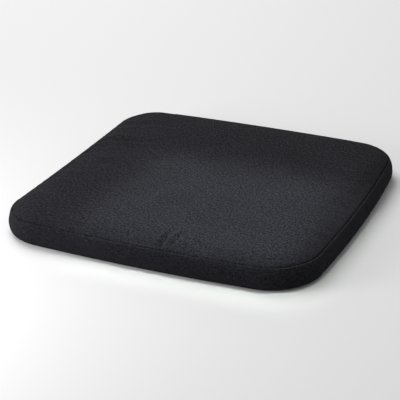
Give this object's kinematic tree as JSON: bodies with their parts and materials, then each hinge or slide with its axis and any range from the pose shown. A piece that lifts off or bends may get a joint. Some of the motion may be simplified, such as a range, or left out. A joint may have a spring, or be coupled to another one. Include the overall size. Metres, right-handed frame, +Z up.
{
  "type": "seat cushion",
  "caption": "Thin square seat pad with rounded corners: crowned fabric top sewn to a boxed side band, zipped at the rear, with a foam pad inside.",
  "frame": {"origin": "centre of the bounding box's underside, on the surface that the pad lies on", "axes": "+Z up, -Y towards the front edge, +Y towards the zipper, +X to the right"},
  "size_m": [0.36, 0.3684, 0.03],
  "materials": {
    "cover_fabric": "charcoal melange plain weave, soft and matte",
    "base_cloth": "dark grey base cloth, matte",
    "grip_rubber": "black non-slip coating, satin",
    "thread": "black polyester sewing thread",
    "liner_thread": "white polyester sewing thread",
    "label": "white satin ribbon, blank",
    "foam": "open-cell polyurethane foam, pale cream",
    "wadding": "white polyester fibre wadding",
    "liner": "white non-woven sheet",
    "zip_tape": "black woven zipper tape",
    "zip_plastic": "black nylon coil",
    "slider_metal": "black enamelled zinc, semi-gloss"
  },
  "bodies": {
    "cushion": {"bottom_seam_thread": "thread", "care_label": "label", "cover_bottom_panel": "base_cloth", "cover_side_band": "cover_fabric", "cover_top_panel": "cover_fabric", "cover_zip_strip_lower": "cover_fabric", "cover_zip_strip_upper": "cover_fabric", "foam_core": "foam", "grip_coating": "grip_rubber", "liner_bottom": "liner", "liner_edge_thread": "liner_thread", "liner_top": "liner", "side_join_thread_left": "thread", "side_join_thread_right": "thread", "top_seam_thread": "thread", "wadding_layer": "wadding", "zip_bottom_stop": "zip_plastic", "zip_coil_lower": "zip_plastic", "zip_coil_upper": "zip_plastic", "zip_tape_lower": "zip_tape", "zip_tape_upper": "zip_tape", "zip_top_stop_lower": "zip_plastic", "zip_top_stop_upper": "zip_plastic", "zip_topstitch_lower": "thread", "zip_topstitch_upper": "thread"},
    "zip_slider": {"zip_slider_body": "slider_metal"},
    "zip_pull": {"zip_pull_tab": "slider_metal"}
  },
  "joints": [
    {"name": "zip_slide", "type": "slide", "parent": "cushion", "child": "zip_slider", "axis": [-1, 0, 0], "range_m": [0, 0.189], "deforming": ["zip_coil_upper", "zip_coil_lower"]},
    {"name": "pull_swing", "type": "hinge", "parent": "zip_slider", "child": "zip_pull", "pos_m": [0.098, 0.1826, 0.0135], "axis": [0, 0, -1], "range_deg": [0, 165]}
  ]
}
